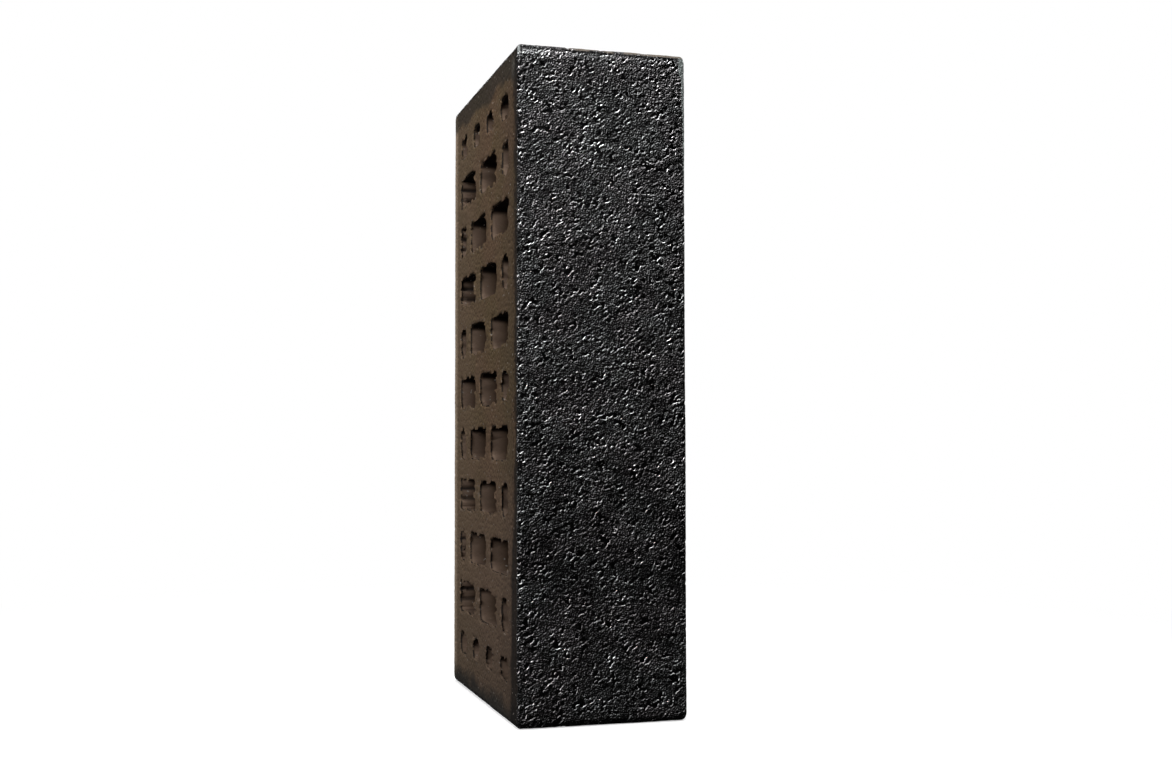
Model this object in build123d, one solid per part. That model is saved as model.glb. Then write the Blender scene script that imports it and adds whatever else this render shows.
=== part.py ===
from build123d import *

import os

# A perforated clay facing brick that stands on one end. Sizes are in millimetres.
# X runs from bed to bed, the way the clay was extruded, with the shown bed at -X.
# Y runs from the front stretcher, at -Y, to the back one. Z runs up the length.
# The origin is the middle of the end that it stands on.

# Outside of the brick
LENGTH = 250.0
WIDTH = 120.0
THICKNESS = 65.0

# Edges: the die rounds the four that run with the extrusion, and the others lie round the cut beds
DIE_EDGE_RADIUS = 3.0
CUT_EDGE_RADIUS = 1.8

# Clay left between the holes and the outside: the shown front wall is the thickest
FRONT_WALL = 16.0
BACK_WALL = 14.0
HEADER_WALL = 14.5

# Full rows: two wide holes and a narrow one, with the narrow one at the front and the back in turn
ROW_HEIGHT = 13.0
LEAST_ROW_WEB = 8.0
HOLE_WEB = 8.0
NARROW_HOLE_WIDTH = 12.0
WIDE_CORNER_RADIUS = 3.1
NARROW_CORNER_RADIUS = 4.1

# The row of small holes beside each end
END_HOLE_WIDTH = 14.0
END_HOLE_HEIGHT = 9.0
LEAST_END_WEB = 10.0
END_CORNER_RADIUS = 3.8

# The largest corner that a hole can have, as a share of its shorter side
CORNER_SHARE = 0.49

# Ribs down the back wall of the hole nearest the back stretcher, in the outer full rows
RIBS_PER_WALL = 3
RIB_DEPTH = 1.1
RIBBED_ROWS_PER_END = 3


def corner_that_fits(radius, width, height):
    """The radius, or a little less than half the shorter side where that is smaller."""
    return min(radius, CORNER_SHARE * min(width, height))


def plain_hole(width, height, corner_radius):
    """Outline of a hole with four round corners, centred on the origin of the section."""
    return RectangleRounded(width, height, corner_that_fits(corner_radius, width, height))


def ribbed_hole(width, height, corner_radius):
    """Outline of a hole whose back wall is round ribs: their crowns keep the width, the grooves go deeper."""
    front_wall = -width / 2
    groove = width / 2 + RIB_DEPTH
    rib_pitch = height / RIBS_PER_WALL
    feet = [(groove, rib_pitch * foot - height / 2) for foot in range(RIBS_PER_WALL + 1)]
    ribs = [SagittaArc(low, high, RIB_DEPTH) for low, high in zip(feet, feet[1:])]
    plain_walls = Polyline(feet[-1], (front_wall, height / 2), (front_wall, -height / 2), feet[0])
    outline = make_face([*ribs, plain_walls])
    front_corners = outline.vertices().group_by(Axis.X)[0]
    return fillet(front_corners, corner_that_fits(corner_radius, width, height))


def full_row(height_on_brick, narrow_in_front, ribbed):
    """The three holes of one full row, from the front stretcher to the back one."""
    wide_hole_width = (WIDTH - FRONT_WALL - BACK_WALL - 2 * HOLE_WEB - NARROW_HOLE_WIDTH) / 2
    widths = [NARROW_HOLE_WIDTH, wide_hole_width, wide_hole_width]
    radii = [NARROW_CORNER_RADIUS, WIDE_CORNER_RADIUS, WIDE_CORNER_RADIUS]
    if not narrow_in_front:
        widths.reverse()
        radii.reverse()
    holes = []
    front_wall = FRONT_WALL - WIDTH / 2
    for place, (width, radius) in enumerate(zip(widths, radii)):
        nearest_back = place == len(widths) - 1
        outline = ribbed_hole if ribbed and nearest_back else plain_hole
        holes.append(Pos(front_wall + width / 2, height_on_brick) * outline(width, ROW_HEIGHT, radius))
        front_wall += width + HOLE_WEB
    return holes


def end_row(height_on_brick):
    """The small holes beside one end, spread evenly between the front wall and the back one."""
    room = WIDTH - FRONT_WALL - BACK_WALL
    count = int((room + LEAST_END_WEB) / (END_HOLE_WIDTH + LEAST_END_WEB))
    pitch = (room - END_HOLE_WIDTH) / (count - 1)
    first = FRONT_WALL - WIDTH / 2 + END_HOLE_WIDTH / 2
    outline = plain_hole(END_HOLE_WIDTH, END_HOLE_HEIGHT, END_CORNER_RADIUS)
    return [Pos(first + pitch * place, height_on_brick) * outline for place in range(count)]


def perforation():
    """Every hole of the section: an end row, the full rows at one pitch, and the other end row."""
    end_row_centre = HEADER_WALL + END_HOLE_HEIGHT / 2
    room = LENGTH - 2 * (HEADER_WALL + END_HOLE_HEIGHT)
    rows = int((room - LEAST_ROW_WEB) / (ROW_HEIGHT + LEAST_ROW_WEB))
    row_web = (room - rows * ROW_HEIGHT) / (rows + 1)
    row_pitch = ROW_HEIGHT + row_web
    first_row_centre = HEADER_WALL + END_HOLE_HEIGHT + row_web + ROW_HEIGHT / 2
    holes = end_row(end_row_centre) + end_row(LENGTH - end_row_centre)
    for row in range(rows):
        rows_from_end = min(row, rows - 1 - row)
        ribbed = rows_from_end < RIBBED_ROWS_PER_END
        holes += full_row(first_row_centre + row_pitch * row, narrow_in_front=row % 2 == 0, ribbed=ribbed)
    return holes


def fired_brick():
    """The section pushed through the die, cut to thickness, with its cut edges worn round."""
    outside = Pos(0, LENGTH / 2) * RectangleRounded(WIDTH, LENGTH, DIE_EDGE_RADIUS)
    section = outside - perforation()
    column = extrude(Plane.YZ.offset(-THICKNESS / 2) * section, THICKNESS)
    faces_along_x = column.faces().sort_by(Axis.X)
    bed_outlines = [bed.outer_wire() for bed in (faces_along_x[0], faces_along_x[-1])]
    return fillet([edge for outline in bed_outlines for edge in outline.edges()], CUT_EDGE_RADIUS)


os.makedirs("parts", exist_ok=True)
export_step(fired_brick(), "parts/brick.step")
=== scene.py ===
# %% [markdown]
# # A perforated facing brick, standing on one end
#
# The real brick is one piece of fired clay. A die squeezes the clay out as a long column with
# the holes already in it, a wire cuts the column into bricks, and the kiln fires them dark.
# The stretcher that faces the street, and the two small headers, carry a rough black skin.
# The two large beds are plain brown clay, because mortar will cover them.
#
# This file dresses the plain solid of that brick. It keeps the solid's size and its holes,
# and adds what makes it look real: torn clay, ragged hole rims, colour and grit.

import itertools
import math

import bmesh
import bpy
import numpy as np
from mathutils import Matrix, Vector
from mathutils.kdtree import KDTree


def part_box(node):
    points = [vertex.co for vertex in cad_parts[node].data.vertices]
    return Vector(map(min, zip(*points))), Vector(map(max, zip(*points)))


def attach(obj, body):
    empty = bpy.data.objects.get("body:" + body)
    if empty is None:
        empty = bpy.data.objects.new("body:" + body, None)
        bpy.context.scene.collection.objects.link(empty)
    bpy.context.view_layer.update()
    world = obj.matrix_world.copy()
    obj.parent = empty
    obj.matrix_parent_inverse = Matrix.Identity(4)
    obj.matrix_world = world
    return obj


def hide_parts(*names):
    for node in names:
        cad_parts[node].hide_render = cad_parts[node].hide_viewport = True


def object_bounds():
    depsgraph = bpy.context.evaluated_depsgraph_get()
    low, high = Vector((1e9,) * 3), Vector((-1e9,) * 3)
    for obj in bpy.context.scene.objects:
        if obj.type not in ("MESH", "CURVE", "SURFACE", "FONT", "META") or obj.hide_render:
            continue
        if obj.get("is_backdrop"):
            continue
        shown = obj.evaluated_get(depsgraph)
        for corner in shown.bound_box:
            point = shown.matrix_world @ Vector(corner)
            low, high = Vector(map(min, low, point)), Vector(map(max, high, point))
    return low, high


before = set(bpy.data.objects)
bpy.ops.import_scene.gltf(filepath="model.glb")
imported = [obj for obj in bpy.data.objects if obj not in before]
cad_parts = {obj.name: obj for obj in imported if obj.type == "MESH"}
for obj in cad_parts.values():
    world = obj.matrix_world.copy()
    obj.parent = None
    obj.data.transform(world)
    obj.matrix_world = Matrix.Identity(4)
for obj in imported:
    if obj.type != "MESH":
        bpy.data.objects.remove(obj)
cad_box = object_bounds()
MM = 0.001
print("pieces in the frame:", sorted(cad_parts))
print("box in mm:", [[round(value / MM, 2) for value in corner] for corner in cad_box])

# %% [markdown]
# ## Where the faces of the brick are
#
# Every pattern below is placed by its distance from a face, so the faces come first. X runs
# from bed to bed, Y from the front stretcher to the back one, and Z up the length. They are
# read from the frame, so that the finish follows the solid if a size changes.

# %% Faces of the brick
low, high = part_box("brick")
LEFT_BED = low.x
RIGHT_BED = high.x
FRONT = low.y
BACK = high.y
STANDING_END = low.z
UPPER_END = high.z
print("front stretcher at y =", round(FRONT / MM, 1), "mm, upper end at z =", round(UPPER_END / MM, 1), "mm")

# %% [markdown]
# ## A mesh that is fine enough to be torn
#
# The solid arrives in triangles as large as its faces allow, and clay can't be torn at
# places where there are no points. Subdividing those long triangles would give thin
# slivers. A voxel remesh wraps the shape in an even net instead, so that one grain size
# holds everywhere, round the corners and down the holes too. The solid itself stays as it
# is: a copy is merged first, because its triangles are loose, and the remesh works on it.

# %% Merged copy of the solid
MERGE_DISTANCE = 0.001 * MM


def merged_copy(node, name):
    """A copy of a node's mesh, with its loose triangles joined where their corners meet."""
    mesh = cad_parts[node].data.copy()
    mesh.name = name
    mesh.materials.clear()
    form = bmesh.new()
    form.from_mesh(mesh)
    bmesh.ops.remove_doubles(form, verts=form.verts, dist=MERGE_DISTANCE)
    form.to_mesh(mesh)
    form.free()
    return mesh


solid_mesh = merged_copy("brick", "brick_solid")
print("merged solid:", len(solid_mesh.vertices), "points,", len(solid_mesh.polygons), "triangles")

# %% Even net over the copy
NET_STEP = 0.6 * MM


def evaluated_mesh(thing, name):
    """The mesh that an object has with its modifiers worked out."""
    graph = bpy.context.evaluated_depsgraph_get()
    mesh = bpy.data.meshes.new_from_object(thing.evaluated_get(graph))
    mesh.name = name
    return mesh


brick = bpy.data.objects.new("clay_brick", solid_mesh)
bpy.context.scene.collection.objects.link(brick)
remesh = brick.modifiers.new("even_net", "REMESH")
remesh.mode = "VOXEL"
remesh.voxel_size = NET_STEP
brick_mesh = evaluated_mesh(brick, "clay_brick")
brick.modifiers.clear()
brick.data = brick_mesh
print("net:", len(brick_mesh.vertices), "points,", len(brick_mesh.polygons), "squares")

# %% [markdown]
# ## Reading the net as numbers
#
# The net has some seven hundred thousand points, too many to visit one by one in Python.
# Read as arrays, all of them are moved by one sum. Each point has its place, in metres,
# and the direction in which its surface faces.

# %% Places and directions of the points
def read_vectors(collection, field):
    """One row of three numbers for each item of a mesh collection."""
    values = np.empty(len(collection) * 3, dtype=np.float32)
    collection.foreach_get(field, values)
    return values.reshape(-1, 3).astype(float)


points = read_vectors(brick_mesh.vertices, "co")
facing = read_vectors(brick_mesh.vertex_normals, "vector")
x, y, z = points.T
print("points span", points.min(axis=0).round(4), "to", points.max(axis=0).round(4))


# %% [markdown]
# ## Noise that can be steered
#
# Torn clay is random, but not evenly so: there are big slow hollows, small sharp pits, and
# patches where the pits crowd together. Each is the same smooth noise at another size. A
# lattice of random values, blended between its corners, gives it. The lattice has its own
# seed, so every run tears the clay in the same way.

# %% Smooth noise on a lattice
TABLE_SIZE = 4096
LATTICE_PRIMES = (73856093, 19349663, 83492791)


def smooth_noise(where, size, seed):
    """A value from -1 to 1 for each place, with hills and hollows about one size apart."""
    table = np.random.default_rng(seed).uniform(-1.0, 1.0, TABLE_SIZE)
    scaled = where / size
    cell = np.floor(scaled).astype(np.int64)
    share = scaled - cell
    share = share * share * (3.0 - 2.0 * share)
    total = np.zeros(len(where))
    for corner in itertools.product((0, 1), repeat=3):
        mixed = (cell + corner) * LATTICE_PRIMES
        spot = (mixed[:, 0] ^ mixed[:, 1] ^ mixed[:, 2]) % TABLE_SIZE
        weight = np.where(corner, share, 1.0 - share).prod(axis=1)
        total += weight * table[spot]
    return total


def step_up(value, start, end):
    """0 below start, 1 above end, and a smooth rise between them."""
    share = np.clip((value - start) / (end - start), 0.0, 1.0)
    return share * share * (3.0 - 2.0 * share)


# %% [markdown]
# ## Which part of the brick a point is on
#
# A weight from 0 to 1 for each kind of surface says how much of its relief a point takes.
# A point is on the outer skin if it is close under one of the six faces, and the way it
# faces says which. The weights fade over the rounded edges, because a rounded edge on the
# real brick was smoothed by the die and is finer than the face beside it.

# %% Weights of the surfaces
SKIN_DEPTH = 1.0 * MM
TURNED_AWAY = 0.55
LOOKING_OUT = 0.95


def outer_skin(outwards, depth_under):
    """1 close under a face where the surface looks out of it, and less where it turns away."""
    return step_up(outwards, TURNED_AWAY, LOOKING_OUT) * (depth_under < SKIN_DEPTH)


depth_under_bed = np.minimum(x - LEFT_BED, RIGHT_BED - x)
depth_under_front = y - FRONT
depth_under_back = BACK - y
depth_under_end = np.minimum(z - STANDING_END, UPPER_END - z)
on_front = outer_skin(-facing[:, 1], depth_under_front)
on_back = outer_skin(facing[:, 1], depth_under_back)
on_header = outer_skin(abs(facing[:, 2]), depth_under_end)
on_bed = outer_skin(abs(facing[:, 0]), depth_under_bed)
print("points on the front:", int((on_front > 0.5).sum()), "on the beds:", int((on_bed > 0.5).sum()))

# %% [markdown]
# ## The torn skin of the front stretcher and the headers
#
# Before the black skin goes on, a wire or a comb tears the top of the soft clay away. It
# leaves a granular face: a fine crumb all over, small pits with a sharp upper lip, and
# rough patches among calmer ones. The tearing runs up to the right, so the crumb is a
# little longer that way. Sculpting that by hand would take days, and a bump map alone
# would leave the outline ruler-straight. So the coarse relief is real, made here, and
# only what is finer than the net is left to the material.

# %% Coordinates that run with the tear
TEAR_ANGLE = math.radians(35)
TEAR_STRETCH = 1.3
along_tear = x * math.cos(TEAR_ANGLE) + z * math.sin(TEAR_ANGLE)
across_tear = z * math.cos(TEAR_ANGLE) - x * math.sin(TEAR_ANGLE)
torn_places = np.column_stack([along_tear / TEAR_STRETCH, y, across_tear])

# %% Relief of the torn skin
CRUMB_SIZE, CRUMB_DEPTH = 1.3 * MM, 0.16 * MM
PIT_SIZE, PIT_DEPTH = 1.7 * MM, 0.8 * MM
HOLLOW_SIZE, HOLLOW_DEPTH = 14.0 * MM, 0.12 * MM
PATCH_SIZE = 9.0 * MM
ARRIS_SHARE = 0.4
HEADER_SHARE = 0.7
patches = smooth_noise(points, PATCH_SIZE, 11) + 0.4 * smooth_noise(points, 4.0 * MM, 12)
patches = step_up(patches, -0.25, 0.55)
pits = step_up(smooth_noise(torn_places, PIT_SIZE, 13) + 0.4 * patches, 0.6, 1.0)
crumb = smooth_noise(torn_places, CRUMB_SIZE, 14) + 0.5 * smooth_noise(points, 1.2 * MM, 15)
hollows = smooth_noise(points, HOLLOW_SIZE, 16) + 0.5 * smooth_noise(points, 6.0 * MM, 17)
torn_depth = (
    CRUMB_DEPTH * (crumb + 1.0) * (0.55 + 0.45 * patches)
    + PIT_DEPTH * pits * (0.5 + 0.5 * patches)
    + HOLLOW_DEPTH * (hollows + 1.0)
)
calm_arris = step_up(UPPER_END - z, 2.5 * MM, 6.5 * MM)
front_share = ARRIS_SHARE + (1.0 - ARRIS_SHARE) * calm_arris
depth_cut = torn_depth * (on_front * front_share + HEADER_SHARE * on_header)
print("deepest pit of the torn skin:", round(depth_cut.max() / MM, 2), "mm")

# %% [markdown]
# ## The wire-cut beds and the back stretcher
#
# The cutting wire leaves a bed almost flat. It drags a few grains along, which score fine
# lines across the bed, and it plucks some out, which leaves small pits, most of them by
# the front edge, where the clay is coarser. The back stretcher only slid through the
# die, so its marks run the way the clay came out, from bed to bed.

# %% Relief of the beds and of the back
DRAG_DEPTH = 0.05 * MM
PLUCK_DEPTH = 0.45 * MM
WAVE_DEPTH = 0.1 * MM
DIE_LINE_DEPTH = 0.07 * MM
PLUCK_START, PLUCK_FULL = 0.72, 0.95
PLUCKED_BY_FRONT = 0.22
DRAG_STRETCH, DIE_STRETCH, GRAIN_STRETCH = 12.0, 15.0, 3.0
drag = smooth_noise(np.column_stack([x, y / DRAG_STRETCH, z]), 0.9 * MM, 21)
near_front = 1.0 - step_up(depth_under_front, 6.0 * MM, 20.0 * MM)
bed_grains = smooth_noise(points, 1.3 * MM, 22)
plucked = step_up(bed_grains, PLUCK_START - PLUCKED_BY_FRONT * near_front, PLUCK_FULL)
waves = smooth_noise(points, 18.0 * MM, 23)
depth_cut += on_bed * (DRAG_DEPTH * (drag + 1.0) + PLUCK_DEPTH * plucked + WAVE_DEPTH * (waves + 1.0))
die_lines = smooth_noise(np.column_stack([x / DIE_STRETCH, y, z]), 1.6 * MM, 24)
back_grains = smooth_noise(np.column_stack([x / GRAIN_STRETCH, y, z]), 1.5 * MM, 25)
plucked_back = step_up(back_grains, PLUCK_START, PLUCK_FULL)
depth_cut += on_back * (DIE_LINE_DEPTH * (die_lines + 1.0) + PLUCK_DEPTH * plucked_back)

# %% Relief on both sides of the solid's faces
# Cut only inwards, the relief would leave the whole brick a little smaller than its solid.
STANDING_SHARE = 0.8
for label, weight in {"front": on_front, "back": on_back, "headers": on_header, "beds": on_bed}.items():
    mean_cut = (depth_cut * weight).sum() / weight.sum()
    depth_cut -= STANDING_SHARE * mean_cut * weight
    print("mean depth cut on the", label + ":", round(mean_cut / MM, 3), "mm")

# %% [markdown]
# ## Ragged rims round the holes
#
# Where the wire leaves a hole it tears the rim: it chips crumbs off the edge, and it pushes
# a burr of soft clay into the opening. So the rims need the distance from each point to
# the nearest rim. The sharp edges of the merged solid that lie in a bed are exactly those
# rims. A tree of points along them answers the question quickly.

# %% Points along the rims
RIM_SAMPLE_STEP = 0.3 * MM
RIM_ANGLE = math.radians(60)
IN_BED = 0.05 * MM


def rim_samples(mesh):
    """Evenly spaced places along the sharp edges that lie in one of the beds."""
    form = bmesh.new()
    form.from_mesh(mesh)
    places = []
    for edge in form.edges:
        start, end = (corner.co for corner in edge.verts)
        past_beds = [min(abs(spot.x - LEFT_BED), abs(spot.x - RIGHT_BED)) for spot in (start, end)]
        in_bed = max(past_beds) < IN_BED
        if not in_bed or len(edge.link_faces) != 2 or edge.calc_face_angle() < RIM_ANGLE:
            continue
        count = max(1, round((end - start).length / RIM_SAMPLE_STEP))
        places += [start.lerp(end, number / count) for number in range(count)]
    form.free()
    return places


rim_places = rim_samples(solid_mesh)
rim_tree = KDTree(len(rim_places))
for number, place in enumerate(rim_places):
    rim_tree.insert(place, number)
rim_tree.balance()
print("places along the rims:", len(rim_places))

# %% Distance from each point to the nearest rim
RIM_REACH = 3.0 * MM
CLEAR_OF_EDGES = 8 * MM
rim_distance = np.full(len(points), RIM_REACH)
depth_under_sides = np.minimum(np.minimum(depth_under_front, depth_under_back), depth_under_end)
inside_edges = depth_under_sides > CLEAR_OF_EDGES
for index in np.flatnonzero((depth_under_bed < RIM_REACH) & inside_edges):
    rim_distance[index] = min(RIM_REACH, rim_tree.find(points[index])[2])
print("points near a rim:", int((rim_distance < RIM_REACH).sum()))

# %% Chips and burrs
CHIP_DEPTH = 0.9 * MM
BURR_HEIGHT = 1.15 * MM
RIM_STRETCH = 2.2
rim_noise_places = np.column_stack([x, y / RIM_STRETCH, z])
chip_reach = 1.0 - step_up(rim_distance, 0.1 * MM, 1.3 * MM)
burr_reach = 1.0 - step_up(rim_distance, 0.3 * MM, 1.3 * MM)
chip_noise = smooth_noise(rim_noise_places, 2.2 * MM, 31) + 0.5 * smooth_noise(points, 1.1 * MM, 32)
burr_noise = smooth_noise(rim_noise_places, 2.0 * MM, 33) + 0.4 * smooth_noise(points, 1.0 * MM, 35)
chips = step_up(chip_noise, 0.25, 0.7)
burrs = step_up(burr_noise, 0.05, 0.45)
in_hole = 1.0 - on_bed
depth_cut += CHIP_DEPTH * chips * chip_reach
depth_cut -= BURR_HEIGHT * burrs * burr_reach * in_hole * (1.0 - chips)
print("points on a burr:", int((burrs * burr_reach * in_hole > 0.3).sum()))

# %% [markdown]
# ## Marks that the material needs to find
#
# The material knows where a place is, but not how near it is to a rim or a groove. Such
# marks are worked out here and kept on the points, as named attributes that the material
# reads: the wall just inside a rim, where a painted shadow line lies, the pale crumbs on
# the bed beside it, and the grooves between the ribs, which are painted dark as shade. The
# ceilings of the holes face down, and are marked as well, to be painted dark as shade.

# %% Marks on the points
GROOVE_RELIEF = 1.0 * MM
inside_of_rim = (1.0 - step_up(rim_distance, 1.2 * MM, 1.8 * MM)) * in_hole
rim_crumbs = (1.0 - step_up(rim_distance, 0.4 * MM, 0.9 * MM)) * on_bed
rim_crumbs *= step_up(smooth_noise(points, 1.0 * MM, 38), 0.3, 0.7)
groove_foot = max(place.y for place in rim_places if BACK - place.y > CLEAR_OF_EDGES)
groove = step_up(y, groove_foot - 0.85 * GROOVE_RELIEF, groove_foot - 0.3 * GROOVE_RELIEF)
groove *= (depth_under_back > CLEAR_OF_EDGES) & (depth_under_bed > 0.3 * MM)
# Ceilings inside the holes that face down, to be painted dark as shade.
ceiling_shade = step_up(-facing[:, 2], 0.15, 0.7) * in_hole * inside_edges
marks = {"inside_of_rim": inside_of_rim, "rim_crumbs": rim_crumbs, "groove": groove, "ceiling_shade": ceiling_shade}
print("feet of the grooves at y =", round(groove_foot / MM, 2), "mm")

# %% Inside of the holes
WALL_DEPTH = 0.05 * MM
WALL_STRETCH = 6.0
on_wall = np.minimum(depth_under_sides, depth_under_bed) > SKIN_DEPTH
wall_marks = smooth_noise(np.column_stack([x / WALL_STRETCH, y, z]), 3.0 * MM, 34)
depth_cut += on_wall * WALL_DEPTH * wall_marks

# %% Move the points
moved = points - facing * depth_cut[:, None]
moved[:, 2] = np.maximum(moved[:, 2], STANDING_END)
brick_mesh.vertices.foreach_set("co", moved.astype(np.float32).ravel())
for label, values in marks.items():
    layer = brick_mesh.attributes.new(label, "FLOAT", "POINT")
    layer.data.foreach_set("value", values.astype(np.float32))
brick_mesh.update()

# %% [markdown]
# ## Fewer triangles where nothing happens
#
# The net is as fine in the smooth holes as on the torn face, which is a waste. Decimate
# removes the points that matter least to the shape. A flat wall keeps few triangles and
# the torn skin keeps most of them.

# %% Thin out the net
TRIANGLE_BUDGET = 196000
SHARP_ANGLE = math.radians(50)
thin = brick.modifiers.new("thin_out", "DECIMATE")
thin.ratio = min(1.0, TRIANGLE_BUDGET / (2 * len(brick_mesh.polygons)))
thinned = evaluated_mesh(brick, "clay_brick")
brick.modifiers.clear()
brick.data = thinned
bpy.data.meshes.remove(brick_mesh)
bpy.data.meshes.remove(solid_mesh)
for face in thinned.polygons:
    face.use_smooth = True
thinned.set_sharp_from_angle(angle=SHARP_ANGLE)
thinned.calc_loop_triangles()
for label in marks:
    kept = np.empty(len(thinned.vertices), dtype=np.float32)
    thinned.attributes[label].data.foreach_get("value", kept)
    print("points with", label + ":", int((kept > 0.3).sum()), "of", len(kept))
print("triangles left:", len(thinned.loop_triangles))

# %% The piece takes its place in the frame
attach(brick, "root")
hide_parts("brick")


# %% [markdown]
# ## Helpers for the materials
#
# A material is a tree of nodes. A few short helpers keep the trees readable: one adds a
# node and fills its inputs, with numbers or with links from other nodes, and the others
# wrap the nodes that are used most: arithmetic, soft-edged masks, blends and noise.

# %% Node helpers
def fill_inputs(tree, made, inputs):
    """Fills the inputs of a node by name or number, with values or links."""
    for name, value in inputs.items():
        if isinstance(value, bpy.types.NodeSocket):
            tree.links.new(value, made.inputs[name])
        else:
            made.inputs[name].default_value = value


def add_node(tree, kind, inputs, **options):
    """Adds a node, sets its options and fills its inputs."""
    made = tree.nodes.new(kind)
    for name, value in options.items():
        setattr(made, name, value)
    fill_inputs(tree, made, inputs)
    return made


def work_out(tree, operation, *values):
    """One Math node: the operation on the values, which are numbers or links."""
    return add_node(tree, "ShaderNodeMath", dict(enumerate(values)), operation=operation).outputs[0]


def product(tree, first, *others):
    """All the values multiplied together."""
    for other in others:
        first = work_out(tree, "MULTIPLY", first, other)
    return first


def strongest(tree, first, *others):
    """The highest of the values at each place."""
    for other in others:
        first = work_out(tree, "MAXIMUM", first, other)
    return first


def mask(tree, value, start, end, first=0.0, last=1.0):
    """first up to start, last from end on, and a smooth change between. Start may be the higher one."""
    inputs = {"Value": value, "From Min": start, "From Max": end, "To Min": first, "To Max": last}
    return add_node(tree, "ShaderNodeMapRange", inputs, interpolation_type="SMOOTHSTEP").outputs["Result"]


def blended(tree, share, first, second):
    """A colour between two colours."""
    made = tree.nodes.new("ShaderNodeMix")
    made.data_type = "RGBA"
    sockets = {socket.identifier: number for number, socket in enumerate(made.inputs)}
    values = {"Factor_Float": share, "A_Color": first, "B_Color": second}
    fill_inputs(tree, made, {sockets[label]: value for label, value in values.items()})
    return next(socket for socket in made.outputs if socket.identifier == "Result_Color")


def dimmed(tree, colour, level):
    """A colour times a level."""
    return add_node(tree, "ShaderNodeVectorMath", {0: colour, "Scale": level}, operation="SCALE").outputs[0]


def noise(tree, vector, size, detail=2.0, roughness=0.55):
    """Noise with features about one size apart, in the units of the vector."""
    inputs = {"Vector": vector, "Scale": 1.0 / size, "Detail": detail, "Roughness": roughness}
    return add_node(tree, "ShaderNodeTexNoise", inputs).outputs["Fac"]


def place_group(tree, group, inputs):
    """Puts a group into a tree and fills its inputs."""
    made = tree.nodes.new("ShaderNodeGroup")
    made.node_tree = group
    fill_inputs(tree, made, inputs)
    return made


def new_group(name, inputs, outputs):
    """An empty shader group with named sockets, and its input and output nodes."""
    group = bpy.data.node_groups.new(name, "ShaderNodeTree")
    for label, kind, value in inputs:
        socket = group.interface.new_socket(name=label, in_out="INPUT", socket_type=kind)
        if value is not None:
            socket.default_value = value
    for label, kind in outputs:
        group.interface.new_socket(name=label, in_out="OUTPUT", socket_type=kind)
    return group, group.nodes.new("NodeGroupInput"), group.nodes.new("NodeGroupOutput")


# %% [markdown]
# ## Grit finer than the mesh
#
# The crumbs on the torn skin are half a millimetre across, and the sand grains in the bed
# are hardly larger. That is too fine for the mesh, so one shader group makes both. Bump
# alone looks tame on black, because there is hardly any light to shade. On the real skin
# each crumb catches the light on its upper side and leaves a dark gap below it. So the
# group also puts out Ledges, which compares the height a little above with the height a
# little below. It is positive on the upper side of a crumb and negative under it. The
# material paints that light and shade into the colour with it.

# %% Relief of the grit
FLOAT_SOCKET = "NodeSocketFloat"
VECTOR_SOCKET = "NodeSocketVector"
LUMP_SIZE = 2.2
PIT_SHARE = 0.93
LUMP_SHARE = 0.45
SUNK_BELOW, SUNK_FULLY = 0.47, 0.36
DARK_BELOW, DARK_FULLY = 0.46, 0.38


def relief_group():
    """Height of a crumbled surface: fine crumbs, and where it is rough, lumps and pits twice as large."""
    group, entry, exit_node = new_group(
        "crumb_relief",
        [("Vector", VECTOR_SOCKET, None), ("Size", FLOAT_SOCKET, MM), ("Rough", FLOAT_SOCKET, 1.0)],
        [("Height", FLOAT_SOCKET), ("Pits", FLOAT_SOCKET)],
    )
    unit = dimmed(group, entry.outputs["Vector"], work_out(group, "DIVIDE", 1.0, entry.outputs["Size"]))
    crumbs = noise(group, unit, 1.0, detail=1.0, roughness=0.5)
    lumps = noise(group, unit, LUMP_SIZE, detail=0.0)
    sunk = product(group, mask(group, lumps, SUNK_BELOW, SUNK_FULLY), LUMP_SHARE * PIT_SHARE)
    coarse = work_out(group, "SUBTRACT", product(group, lumps, LUMP_SHARE), sunk)
    height = work_out(group, "ADD", crumbs, product(group, coarse, entry.outputs["Rough"]))
    group.links.new(height, exit_node.inputs["Height"])
    group.links.new(mask(group, lumps, DARK_BELOW, DARK_FULLY), exit_node.inputs["Pits"])
    return group


# %% Grit with a direction
LEDGE_REACH = 0.44


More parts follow.
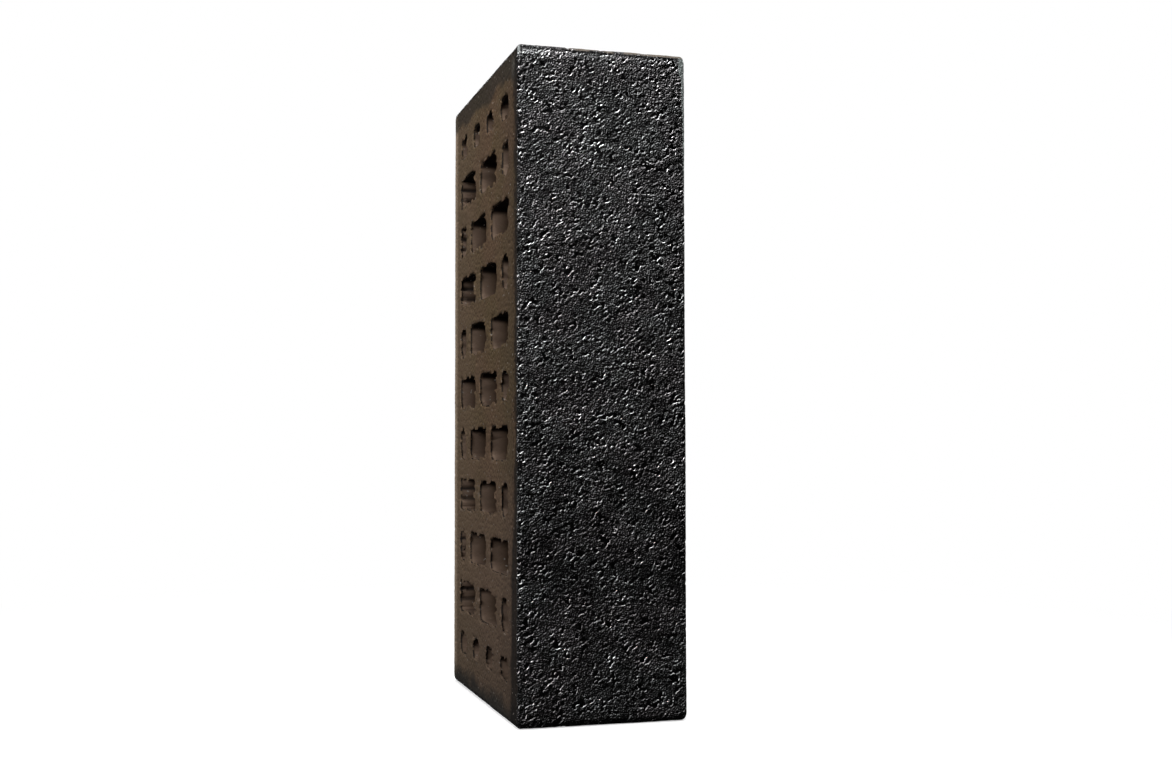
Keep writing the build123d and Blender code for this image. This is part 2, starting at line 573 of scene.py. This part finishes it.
def grit_group(relief):
    """The relief, turned and stretched, and its ledges: above 0 where it faces up."""
    group, entry, exit_node = new_group(
        "grit",
        [
            ("Vector", VECTOR_SOCKET, None),
            ("Size", FLOAT_SOCKET, MM),
            ("Stretch", FLOAT_SOCKET, 1.0),
            ("Angle", FLOAT_SOCKET, 0.0),
            ("Rough", FLOAT_SOCKET, 1.0),
        ],
        [("Height", FLOAT_SOCKET), ("Pits", FLOAT_SOCKET), ("Ledges", FLOAT_SOCKET)],
    )
    size = entry.outputs["Size"]
    turn = {"Vector": entry.outputs["Vector"], "Angle": entry.outputs["Angle"]}
    turned = add_node(group, "ShaderNodeVectorRotate", turn, rotation_type="Y_AXIS").outputs[0]
    axes = {"X": entry.outputs["Stretch"], "Y": 1.0, "Z": 1.0}
    scale = add_node(group, "ShaderNodeCombineXYZ", axes).outputs[0]
    drawn = add_node(group, "ShaderNodeVectorMath", {0: turned, 1: scale}, operation="DIVIDE").outputs[0]

    def relief_at(shift):
        """The relief at a place that lies some crumb sizes higher up, across the tear."""
        rise = add_node(group, "ShaderNodeCombineXYZ", {"Z": product(group, size, shift)}).outputs[0]
        raised = add_node(group, "ShaderNodeVectorMath", {0: drawn, 1: rise}, operation="ADD").outputs[0]
        inputs = {"Vector": raised, "Size": size, "Rough": entry.outputs["Rough"]}
        return place_group(group, relief, inputs).outputs

    here = relief_at(0.0)
    below = relief_at(-LEDGE_REACH)["Height"]
    above = relief_at(LEDGE_REACH)["Height"]
    group.links.new(here["Height"], exit_node.inputs["Height"])
    group.links.new(here["Pits"], exit_node.inputs["Pits"])
    group.links.new(work_out(group, "SUBTRACT", below, above), exit_node.inputs["Ledges"])
    return group


grit = grit_group(relief_group())
outputs = [item.name for item in grit.interface.items_tree if item.in_out == "OUTPUT"]
print("group", grit.name, "puts out", outputs)


# %% [markdown]
# ## Where a place is, for the material
#
# The brick is one piece, so it has one material, which decides from the place what to
# show. Distances from the faces are the plainest way to say it: black skin close under
# the front and the headers, brown clay elsewhere, soot near the black edges.

# %% Distances from the faces
def face_distances(tree):
    """How far a place lies under each face of the brick, in metres, and the place itself."""
    place = add_node(tree, "ShaderNodeTexCoord", {}).outputs["Object"]
    parts = add_node(tree, "ShaderNodeSeparateXYZ", {"Vector": place}).outputs
    from_left = work_out(tree, "SUBTRACT", parts["X"], LEFT_BED)
    from_right = work_out(tree, "SUBTRACT", RIGHT_BED, parts["X"])
    return {
        "place": place,
        "height": parts["Z"],
        "front": work_out(tree, "SUBTRACT", parts["Y"], FRONT),
        "back": work_out(tree, "SUBTRACT", BACK, parts["Y"]),
        "top": work_out(tree, "SUBTRACT", UPPER_END, parts["Z"]),
        "bottom": work_out(tree, "SUBTRACT", parts["Z"], STANDING_END),
        "left": from_left,
        "right": from_right,
        "bed": work_out(tree, "MINIMUM", from_left, from_right),
    }


def mark(tree, label):
    """One of the marks that the points carry."""
    return add_node(tree, "ShaderNodeAttribute", {}, attribute_name=label).outputs["Fac"]


def distance_from_edge(tree, first, second):
    """How far a place is from the edge where two faces would meet."""
    return work_out(
        tree, "SQRT", work_out(tree, "ADD", product(tree, first, first), product(tree, second, second))
    )


# %% [markdown]
# ## The black skin
#
# The skin is a fired slip with a dull shine. It is dark grey on the crumbs, with patches
# that are rougher than others, and a faint tint of violet in some places and of blue in
# others. Its pits are painted almost black, as shade. Its tone rises steeply with the
# ledges, as a power of them, which paints each crumb lit on its upper side and dark below
# it, and gives many dark gaps and few bright crumbs. The upper header lies level, so that
# up and down say little about its crumbs, and the ledges count for less there. The skin is
# painted darker towards the bottom, as the light falls off, with a painted highlight in a
# pale band under the upper arris. Along the upper end it is worn through to brown clay in
# places.

# %% Black skin
SKIN_CRUMB = 0.5 * MM
SKIN_LEVEL = 0.00405
SKIN_CONTRAST = 15.5
TONE_POWER = 2.35
HEADER_CONTRAST = 0.4
SKIN_TINTS = ((1.03, 0.985, 1.01, 1), (0.98, 1.0, 1.01, 1))


def skin_tone(tree, where, torn, rough):
    """Colour of the black skin, with painted light and shade on its crumbs, pits and arrises."""
    place = where["place"]
    shade = blended(tree, mask(tree, noise(tree, place, 16.0 * MM, detail=3.0), 0.4, 0.6), *SKIN_TINTS)
    by_arris = mask(tree, where["top"], 5.0 * MM, 3.6 * MM)
    by_arris = product(tree, by_arris, mask(tree, where["front"], 4.0 * MM, 2.0 * MM))
    calmer = mask(tree, by_arris, 0.0, 1.0, 1.0, 0.35)
    sharper = mask(tree, where["height"], 160.0 * MM, 80.0 * MM, 1.0, 1.45)
    past_arris = mask(tree, where["front"], 1.8 * MM, 3.0 * MM)
    level_skin = product(tree, mask(tree, where["top"], 2.4 * MM, 1.2 * MM), past_arris)
    flatter = mask(tree, level_skin, 0.0, 1.0, 1.0, HEADER_CONTRAST)
    # Painted light and shade: the tone rises where the ledges face up, so each crumb is painted lit on top
    # and dark below.
    slope = product(tree, torn.outputs["Ledges"], calmer, sharper, flatter, SKIN_CONTRAST)
    lit = work_out(tree, "MAXIMUM", work_out(tree, "ADD", slope, 1.0), 0.0)
    # Painted shade: the pits of the grit are painted almost black.
    gaps = mask(tree, product(tree, torn.outputs["Pits"], rough), 0.0, 1.0, 1.0, 0.0)
    slow = mask(tree, noise(tree, place, 12.0 * MM, detail=2.0), 0.3, 0.7, 0.6, 1.5)
    # Painted shade: the skin darkens towards the bottom, as the light falls off. Near the foot it is lighter
    # again.
    shade_below = mask(tree, where["height"], 55.0 * MM, 190.0 * MM, 0.31, 1.0)
    lighter_foot = mask(tree, where["height"], 55.0 * MM, 30.0 * MM, 1.0, 1.35)
    bands = product(tree, arris_bands(tree, where), slow, shade_below, lighter_foot)
    tone = product(tree, work_out(tree, "POWER", lit, TONE_POWER), gaps, bands, SKIN_LEVEL)
    return dimmed(tree, shade, tone)


def arris_bands(tree, where):
    """Level of the skin near the ends: a painted highlight band under the upper arris, a dark one at the
    lower.
    """
    near_front = mask(tree, where["front"], 2.8 * MM, 1.8 * MM)
    starts = mask(tree, where["top"], 1.6 * MM, 3.2 * MM)
    ends = mask(tree, where["top"], 4.6 * MM, 3.6 * MM)
    # Painted highlight: a pale band under the rounded upper arris, palest towards the left bed, paler still
    # at the arris.
    palest = mask(tree, where["left"], 10.0 * MM, 50.0 * MM, 16.0, 5.0)
    band = mask(tree, product(tree, starts, ends, near_front), 0.0, 1.0, 1.0, palest)
    upper_arris_light = product(tree, mask(tree, where["top"], 2.0 * MM, 0.8 * MM), near_front)
    arris = mask(tree, upper_arris_light, 0.0, 1.0, 1.0, 6.0)
    # Painted light: the upper end of the face is a little paler.
    upper_end = product(tree, mask(tree, where["top"], 10.0 * MM, 5.0 * MM), near_front)
    paler_end = mask(tree, upper_end, 0.0, 1.0, 1.0, 1.4)
    dark_foot = mask(tree, where["bottom"], 3.0 * MM, 1.8 * MM, 1.0, 0.28)
    return product(tree, band, arris, paler_end, dark_foot)


# %% Worn line and painted highlights on the edges
RIGHT_HIGHLIGHT_SHARE = 0.85
GLINT_SHARE = 0.55


def worn_line_and_highlights(tree, where):
    """Masks of the brown worn line at the upper end, and of the painted highlights on the right arris and a
    corner.
    """
    top = where["top"]
    patchy = noise(tree, where["place"], 6.0 * MM, detail=3.0)
    line = product(tree, mask(tree, top, 1.65 * MM, 1.1 * MM), mask(tree, patchy, 0.36, 0.46))
    line = product(tree, line, mask(tree, where["left"], 16.0 * MM, 26.0 * MM))
    line = product(tree, line, mask(tree, where["front"], 3.0 * MM, 2.2 * MM))
    # Painted highlight: a strip down the rounded right arris, narrowing and fading away from the upper end.
    right = distance_from_edge(tree, where["front"], where["right"])
    narrower = mask(tree, top, 7.0 * MM, 9.5 * MM, 0.0, 1.05 * MM)
    narrowest = mask(tree, top, 16.0 * MM, 24.0 * MM, 0.0, 0.45 * MM)
    right = work_out(tree, "ADD", right, work_out(tree, "ADD", narrower, narrowest))
    fades = mask(tree, top, 60.0 * MM, 25.0 * MM, 0.0, RIGHT_HIGHLIGHT_SHARE)
    strip = product(tree, mask(tree, right, 2.9 * MM, 2.5 * MM), fades)
    # Painted highlight: a pale glint at the upper corner of the left arris.
    corner = product(tree, mask(tree, where["left"], 1.1 * MM, 0.5 * MM), mask(tree, top, 5.5 * MM, 1.5 * MM))
    glint = product(tree, corner, mask(tree, where["front"], 2.4 * MM, 1.8 * MM), GLINT_SHARE)
    return line, strip, glint


# %% [markdown]
# ## The brown clay, its soot, and painted light and shade
#
# The beds, the back and the walls of the holes are bare clay. The beds are browner and a
# little darker, because smoke and dust settled on them, and paler towards the back, with a
# painted highlight along the back edge. Their sand grains are painted lit on top and dark
# below, and the sand's pits near the front are painted darker, as shade. The walls are
# painted paler near the opening and darker further in, as shade, with painted shade on the
# ceilings, in the grooves between the ribs, and in a thin line just inside each rim. A grey
# veil lies along both ends of a bed, and a black one along its front edge, wider towards
# the bottom, where the slip ran over the arris.

# %% Soot on the clay
def soot_masks(tree, where):
    """The black soot along the front edge and the grey veil along the ends, from 0 to 1."""
    wander = noise(tree, where["place"], 14.0 * MM, detail=3.0)
    drift = mask(tree, wander, 0.3, 0.7, -2.0 * MM, 2.0 * MM)
    reach = mask(tree, where["height"], 105.0 * MM, 30.0 * MM, 6.2 * MM, 12.5 * MM)
    past_reach = work_out(tree, "SUBTRACT", work_out(tree, "ADD", where["front"], drift), reach)
    edge = mask(tree, past_reach, 3.4 * MM, -3.4 * MM, 0.0, 0.9)
    haze = mask(tree, where["front"], 45.0 * MM, 4.0 * MM, 0.0, 0.3)
    top = mask(tree, work_out(tree, "ADD", where["top"], drift), 11.5 * MM, 8.0 * MM, 0.0, 0.72)
    bottom = mask(tree, work_out(tree, "ADD", where["bottom"], drift), 12.0 * MM, 3.2 * MM, 0.0, 0.93)
    low_haze = mask(tree, where["bottom"], 45.0 * MM, 12.0 * MM, 0.0, 0.2)
    return strongest(tree, edge, haze), strongest(tree, top, bottom, low_haze)


# %% Painted shadow line just inside each rim
def rim_shadow_line(tree, where):
    """The thin broken line of painted shadow that lies where the wall of a hole begins."""
    begins = mask(tree, where["bed"], 0.2 * MM, 0.45 * MM)
    ends = mask(tree, where["bed"], 1.15 * MM, 0.8 * MM)
    broken = mask(tree, noise(tree, where["place"], 1.8 * MM, detail=2.0), 0.38, 0.46)
    return product(tree, mask(tree, mark(tree, "inside_of_rim"), 0.3, 0.7), begins, ends, broken)


# %% Brown clay
BED_BROWNS = ((0.099, 0.07, 0.04, 1), (0.112, 0.072, 0.046, 1))
LOW_BROWN = (0.122, 0.084, 0.061, 1)
BACK_BROWN = (0.145, 0.103, 0.068, 1)
BACK_EDGE_HIGHLIGHT = (0.36, 0.275, 0.2, 1)
SMEAR_GREY = (0.095, 0.088, 0.076, 1)
WALL_BROWN = (0.187, 0.13, 0.096, 1)
DEEP_SHADE_BROWN = (0.052, 0.032, 0.02, 1)
CEILING_SHADE_BROWN = (0.007, 0.0035, 0.003, 1)
VEIL_GREY = (0.029, 0.028, 0.026, 1)
# Black of the soot along the front edge, and of the painted shade in the grooves and at the rims.
SOOT_AND_SHADE_BLACK = (0.0155, 0.014, 0.0135, 1)
CRUMB_PALE = (0.3, 0.27, 0.24, 1)
BACK_FACE_BROWNS = ((0.138, 0.099, 0.067, 1), (0.175, 0.128, 0.09, 1))
DIE_LINE_LENGTH = 25.0
SMEAR_SHARE = 0.75
CEILING_SHADE_SHARE = 0.97
RIM_CRUMB_SHARE = 0.4
GROOVE_SHARE = 0.9
RIM_SHADOW_SHARE = 0.92


def back_tone(tree, place):
    """Colour of the back stretcher: mottled clay with faint lines that run from bed to bed."""
    mottle = mask(tree, noise(tree, place, 24.0 * MM, detail=5.0), 0.36, 0.64)
    clay = blended(tree, mottle, *BACK_FACE_BROWNS)
    squeeze = {0: place, 1: (1.0 / DIE_LINE_LENGTH, 1.0, 1.0)}
    drawn = add_node(tree, "ShaderNodeVectorMath", squeeze, operation="MULTIPLY").outputs[0]
    lines = mask(tree, noise(tree, drawn, 1.4 * MM, detail=3.0), 0.3, 0.7, 0.8, 1.15)
    smudges = mask(tree, noise(tree, place, 15.0 * MM, detail=4.0), 0.56, 0.7, 1.0, 0.7)
    return dimmed(tree, clay, product(tree, lines, smudges))


def smear(tree, where):
    """A short pale smear on the bed, beside the front arris near the upper end."""
    past_arris = mask(tree, where["front"], 3.0 * MM, 6.0 * MM)
    before_holes = mask(tree, where["front"], 12.0 * MM, 8.0 * MM)
    under_end = mask(tree, where["top"], 2.0 * MM, 5.0 * MM)
    fades = mask(tree, where["top"], 16.0 * MM, 8.0 * MM)
    return product(tree, past_arris, before_holes, under_end, fades, SMEAR_SHARE)


def clay_tone(tree, where, sand, in_hole):
    """Colour of the bare clay, with its soot and specks, and painted light and shade on grains, pits, walls
    and rims.
    """
    place = where["place"]
    mottle = mask(tree, noise(tree, place, 30.0 * MM, detail=4.0), 0.35, 0.65)
    bed = blended(tree, mottle, *BED_BROWNS)
    bed = blended(tree, mask(tree, where["height"], 120.0 * MM, 50.0 * MM, 0.0, 0.8), bed, LOW_BROWN)
    bed = blended(tree, mask(tree, where["back"], 70.0 * MM, 15.0 * MM, 0.0, 0.7), bed, BACK_BROWN)
    # Painted highlight along the back edge of the bed, strongest on the left bed.
    edge_share = mask(tree, where["left"], 3.0 * MM, 6.0 * MM, 0.9, 0.35)
    back_edge_highlight = product(tree, mask(tree, where["back"], 10.0 * MM, 3.5 * MM), edge_share)
    bed = blended(tree, back_edge_highlight, bed, BACK_EDGE_HIGHLIGHT)
    bed = blended(tree, mask(tree, where["back"], 1.5 * MM, 0.7 * MM), bed, back_tone(tree, place))
    veil_and_soot = soot_masks(tree, where)
    bed = blended(tree, veil_and_soot[1], bed, VEIL_GREY)
    bed = blended(tree, smear(tree, where), bed, SMEAR_GREY)
    # Painted shade: the walls darken from the opening inwards.
    wall = blended(tree, mask(tree, where["bed"], 2.0 * MM, 8.5 * MM), WALL_BROWN, DEEP_SHADE_BROWN)
    # Painted shade on the ceilings of the holes.
    wall = blended(tree, product(tree, mark(tree, "ceiling_shade"), CEILING_SHADE_SHARE), wall, CEILING_SHADE_BROWN)
    clay = blended(tree, in_hole, bed, wall)
    # Painted light and shade: sand grains are lit on top and dark below, much less inside the holes.
    grain = product(tree, sand.outputs["Ledges"], mask(tree, in_hole, 0.0, 1.0, 0.5, 0.1))
    grain = work_out(tree, "ADD", grain, 1.0)
    # Painted shade: the pits of the sand near the front edge are darker.
    near_front = mask(tree, where["front"], 18.0 * MM, 5.0 * MM)
    specks = mask(tree, product(tree, sand.outputs["Pits"], near_front), 0.5, 1.0, 1.0, 0.45)
    clay = dimmed(tree, clay, product(tree, grain, specks))
    clay = blended(tree, veil_and_soot[0], clay, SOOT_AND_SHADE_BLACK)
    pale_specks = mask(tree, noise(tree, place, 1.3 * MM, detail=0.0), 0.78, 0.82, 0.0, 0.7)
    pale = strongest(tree, pale_specks, product(tree, mark(tree, "rim_crumbs"), RIM_CRUMB_SHARE))
    clay = blended(tree, pale, clay, CRUMB_PALE)
    # Painted shade in the grooves between the ribs.
    clay = blended(tree, product(tree, mark(tree, "groove"), GROOVE_SHARE), clay, SOOT_AND_SHADE_BLACK)
    # Painted shadow: a thin broken dark line just inside each rim.
    return blended(tree, product(tree, rim_shadow_line(tree, where), RIM_SHADOW_SHARE), clay, SOOT_AND_SHADE_BLACK)


# %% Fired clay, the material of the whole brick
WORN_CLAY = (0.14, 0.12, 0.1, 1)
RIGHT_ARRIS_HIGHLIGHT = (0.145, 0.163, 0.158, 1)
GLINT_PALE = (0.42, 0.45, 0.44, 1)
SPECKLE_CONTRAST = 3.0
CRUMB_STRETCH = 1.2
SAND_GRAIN = 0.7 * MM
TORN_BUMP = 0.35 * MM
SAND_BUMP = 0.1 * MM
WALL_BUMP = 0.01 * MM
CLAY_ROUGHNESS, SKIN_ROUGHNESS = 0.88, 0.4
SHINE = 0.04


def clay_material():
    """Black torn skin on the front and the headers, brown clay on the beds, the back and in the holes."""
    material = bpy.data.materials.new("fired_clay")
    material.use_nodes = True
    tree = material.node_tree
    tree.nodes.clear()
    where = face_distances(tree)
    place = where["place"]
    front_skin = mask(tree, where["front"], 2.6 * MM, 1.4 * MM)
    from_end = work_out(tree, "MINIMUM", where["top"], where["bottom"])
    header_skin = mask(tree, from_end, 2.4 * MM, 1.2 * MM)
    skin = strongest(tree, front_skin, header_skin)
    from_side = work_out(tree, "MINIMUM", work_out(tree, "MINIMUM", where["front"], where["back"]), from_end)
    inside = mask(tree, from_side, 4.0 * MM, 8.0 * MM)
    in_hole = product(tree, mask(tree, where["bed"], 0.6 * MM, 1.6 * MM), inside)

    rough = mask(tree, noise(tree, place, 5.0 * MM, detail=3.0), 0.42, 0.62, 0.1, 1.35)
    tear = {
        "Vector": place,
        "Size": SKIN_CRUMB,
        "Stretch": CRUMB_STRETCH,
        "Angle": TEAR_ANGLE,
        "Rough": rough,
    }
    torn = place_group(tree, grit, tear)
    sand = place_group(tree, grit, {"Vector": place, "Size": SAND_GRAIN})
    worn_line, right_highlight, glint = worn_line_and_highlights(tree, where)
    black = skin_tone(tree, where, torn, rough)
    # Painted highlight down the right arris, speckled by the crumbs' painted light.
    speckled = work_out(tree, "ADD", product(tree, torn.outputs["Ledges"], SPECKLE_CONTRAST), 1.0)
    black = blended(tree, right_highlight, black, dimmed(tree, RIGHT_ARRIS_HIGHLIGHT[:3], speckled))
    black = blended(tree, worn_line, black, WORN_CLAY)
    # Paint the glint at the upper left corner.
    black = blended(tree, glint, black, GLINT_PALE)
    colour = blended(tree, skin, clay_tone(tree, where, sand, in_hole), black)

    torn_height = product(tree, torn.outputs["Height"], TORN_BUMP)
    clay_bump = mask(tree, in_hole, 0.0, 1.0, SAND_BUMP, WALL_BUMP)
    sand_height = product(tree, sand.outputs["Height"], clay_bump)
    height = add_node(tree, "ShaderNodeMix", {"Factor": skin, "A": sand_height, "B": torn_height})
    raised = {"Strength": 1.0, "Distance": 1.0, "Height": height.outputs["Result"]}
    bump = add_node(tree, "ShaderNodeBump", raised)
    finish = {
        "Base Color": colour,
        "Roughness": mask(tree, skin, 0.0, 1.0, CLAY_ROUGHNESS, SKIN_ROUGHNESS),
        "Specular IOR Level": SHINE,
        "Normal": bump.outputs["Normal"],
    }
    surface = add_node(tree, "ShaderNodeBsdfPrincipled", finish)
    output = tree.nodes.new("ShaderNodeOutputMaterial")
    tree.links.new(surface.outputs["BSDF"], output.inputs["Surface"])
    return material


brick.data.materials.clear()
brick.data.materials.append(clay_material())
print("nodes in the clay material:", len(brick.data.materials[0].node_tree.nodes))


# %% [markdown]
# ## A pale floor
#
# The brick needs something to stand on, and its shadow shows that it does. A plain pale
# square is enough. Far from the brick it fades to pure white, so that no horizon crosses
# the picture. A floor this bright would throw light up into the holes, which are dark on
# the real brick. So its brightness is for the camera, and the light that it sends back to
# the brick is that of a grey table.

# %% Floor
FLOOR_SIZE = 4.0
FLOOR_GAP = 0.05 * MM
TABLE_GREY = (0.1, 0.1, 0.1, 1)
SEEN_GREY = (0.8, 0.8, 0.8, 1)
SEEN_LIFT = 0.5
FLOOR_ROUGHNESS = 0.9
FADE_START, FADE_END = 0.1, 0.5
WHITE = (1, 1, 1, 1)


def floor_material():
    """Pale floor that fades to white far from the object, for the camera only."""
    material = bpy.data.materials.new("pale_floor")
    material.use_nodes = True
    tree = material.node_tree
    tree.nodes.clear()
    place = add_node(tree, "ShaderNodeTexCoord", {}).outputs["Object"]
    distance = add_node(tree, "ShaderNodeVectorMath", {0: place}, operation="LENGTH").outputs["Value"]
    camera_ray = add_node(tree, "ShaderNodeLightPath", {}).outputs["Is Camera Ray"]
    far = product(tree, camera_ray, mask(tree, distance, FADE_START, FADE_END))
    finish = {
        "Base Color": blended(tree, camera_ray, TABLE_GREY, SEEN_GREY),
        "Roughness": FLOOR_ROUGHNESS,
        "Emission Color": WHITE,
        "Emission Strength": product(tree, camera_ray, SEEN_LIFT),
    }
    pale = add_node(tree, "ShaderNodeBsdfPrincipled", finish)
    white = add_node(tree, "ShaderNodeEmission", {"Color": WHITE, "Strength": 1.0})
    both = add_node(tree, "ShaderNodeMixShader", {"Fac": far, 1: pale.outputs[0], 2: white.outputs[0]})
    output = tree.nodes.new("ShaderNodeOutputMaterial")
    tree.links.new(both.outputs[0], output.inputs["Surface"])
    return material


def make_floor():
    """One flat square under the brick."""
    form = bmesh.new()
    bmesh.ops.create_grid(form, x_segments=1, y_segments=1, size=FLOOR_SIZE / 2)
    mesh = bpy.data.meshes.new("floor")
    form.to_mesh(mesh)
    form.free()
    mesh.materials.append(floor_material())
    made = bpy.data.objects.new("floor", mesh)
    made.location.z = STANDING_END - FLOOR_GAP
    bpy.context.scene.collection.objects.link(made)
    return made


floor = make_floor()
floor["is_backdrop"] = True
print("floor:", FLOOR_SIZE, "m wide,", round(FLOOR_GAP / MM, 2), "mm under the brick")

# %% [markdown]
# ## Light from all round
#
# A studio has pale walls, which fill the shadows softly, most from above, less from the
# sides and not at all from below. The world does the same: its strength grows with the
# height of the direction. The camera sees plain white instead, so that only the brick and
# its shadow show.

# %% World
FILL_LEVEL = 0.16
FULL_FILL_HEIGHT = 0.5
world = bpy.data.worlds.new("studio")
bpy.context.scene.world = world
world.use_nodes = True
sky = world.node_tree
sky.nodes.clear()
direction = add_node(sky, "ShaderNodeTexCoord", {}).outputs["Generated"]
upwards = add_node(sky, "ShaderNodeSeparateXYZ", {"Vector": direction}).outputs["Z"]
soft_light = mask(sky, upwards, 0.0, FULL_FILL_HEIGHT, 0.0, FILL_LEVEL)
seen = add_node(sky, "ShaderNodeLightPath", {}).outputs["Is Camera Ray"]
strength = work_out(sky, "MAXIMUM", seen, soft_light)
background = add_node(sky, "ShaderNodeBackground", {"Color": WHITE, "Strength": strength})
world_output = sky.nodes.new("ShaderNodeOutputWorld")
sky.links.new(background.outputs[0], world_output.inputs["Surface"])
print("fill light from 0 at the horizon to", FILL_LEVEL, "overhead")

# %% [markdown]
# ## Lamps
#
# The photograph's light comes from above and a little in front. It rakes down the torn
# face, so that each crumb is lit on top and leaves a shadow below, and it fades towards
# the bottom. Another soft lamp at the left lights the bed. The last two only draw thin
# bright lines along the edges, which part the dark brick from the background.

# %% Soft lamps
LAMPS = {
    "key_above_front": ((-0.06, -0.24, 0.42), (0.0, -0.06, 0.2), 0.1, 1.1),
    "window_left": ((-0.55, -0.3, 0.34), (-0.03, -0.02, 0.13), 0.25, 2.6),
    "rim_right": ((0.35, 0.04, 0.4), (0.03, -0.05, 0.22), 0.12, 0.8),
    "behind": ((0.12, 0.7, 0.45), (0.0, 0.0, 0.12), 0.3, 3.0),
}


def soft_lamp(name, place, target, size, power):
    """A square lamp that shines from a place to a target."""
    light = bpy.data.lights.new(name, "AREA")
    light.energy = power
    light.size = size
    lamp = bpy.data.objects.new(name, light)
    lamp.location = place
    lamp.rotation_euler = (Vector(target) - Vector(place)).to_track_quat("-Z", "Y").to_euler()
    bpy.context.scene.collection.objects.link(lamp)


for lamp_name, (lamp_place, lamp_target, lamp_size, lamp_power) in LAMPS.items():
    soft_lamp(lamp_name, lamp_place, lamp_target, lamp_size, lamp_power)
    print("lamp", lamp_name + ":", lamp_power, "W,", lamp_size, "m wide")

# %% [markdown]
# ## The camera
#
# Its place and its lens were worked out from the photograph: from where the outline of the
# brick, the front arris and the corners of the holes lie in the picture, and from the
# brick's own size. It stands left of the brick, a little below its middle, and looks
# slightly up. The focal length is kept in pixels of the picture, as it was measured.

# %% Camera
IMAGE_WIDTH = 1172
SENSOR_WIDTH = 36.0
FOCAL_PIXELS = 1433.0
CAMERA_PLACE = Vector((-154.5, -564.7, 101.0)) * MM
CAMERA_YAW = math.radians(16.31)
CAMERA_PITCH = math.radians(2.34)
CAMERA_ROLL = math.radians(-0.09)
NEAREST_SEEN = 0.01


def camera_directions(yaw, pitch, roll):
    """The camera's right, up and backward directions, as the columns of a matrix."""
    ahead = Vector((math.sin(yaw) * math.cos(pitch), math.cos(yaw) * math.cos(pitch), math.sin(pitch)))
    level_right = Vector((math.cos(yaw), -math.sin(yaw), 0.0))
    level_up = level_right.cross(ahead)
    right = level_right * math.cos(roll) + level_up * math.sin(roll)
    return Matrix((right, right.cross(ahead), -ahead)).transposed()


camera_data = bpy.data.cameras.new("camera")
camera_data.sensor_width = SENSOR_WIDTH
camera_data.lens = FOCAL_PIXELS * SENSOR_WIDTH / IMAGE_WIDTH
camera_data.clip_start = NEAREST_SEEN
camera = bpy.data.objects.new("camera", camera_data)
turned = camera_directions(CAMERA_YAW, CAMERA_PITCH, CAMERA_ROLL)
camera.matrix_world = Matrix.Translation(CAMERA_PLACE) @ turned.to_4x4()
bpy.context.scene.collection.objects.link(camera)
bpy.context.scene.camera = camera
bpy.context.scene.view_settings.view_transform = "Standard"
print("lens:", round(camera_data.lens, 1), "mm")
print("camera:", round(CAMERA_PLACE.length, 2), "m from the foot of the brick")

# %% [markdown]
# ## Sizes, and the end
#
# The relief moves the outside of the brick a little, and the box round everything shows
# how far. Both boxes are written down, so that a slip in the finish would be noticed.

# %% Boxes before and after
shown_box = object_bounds()
boxes = {"cad": [list(corner) for corner in cad_box], "shown": [list(corner) for corner in shown_box]}
for label, box in boxes.items():
    print(label, "box in mm:", [[round(value / MM, 2) for value in corner] for corner in box])
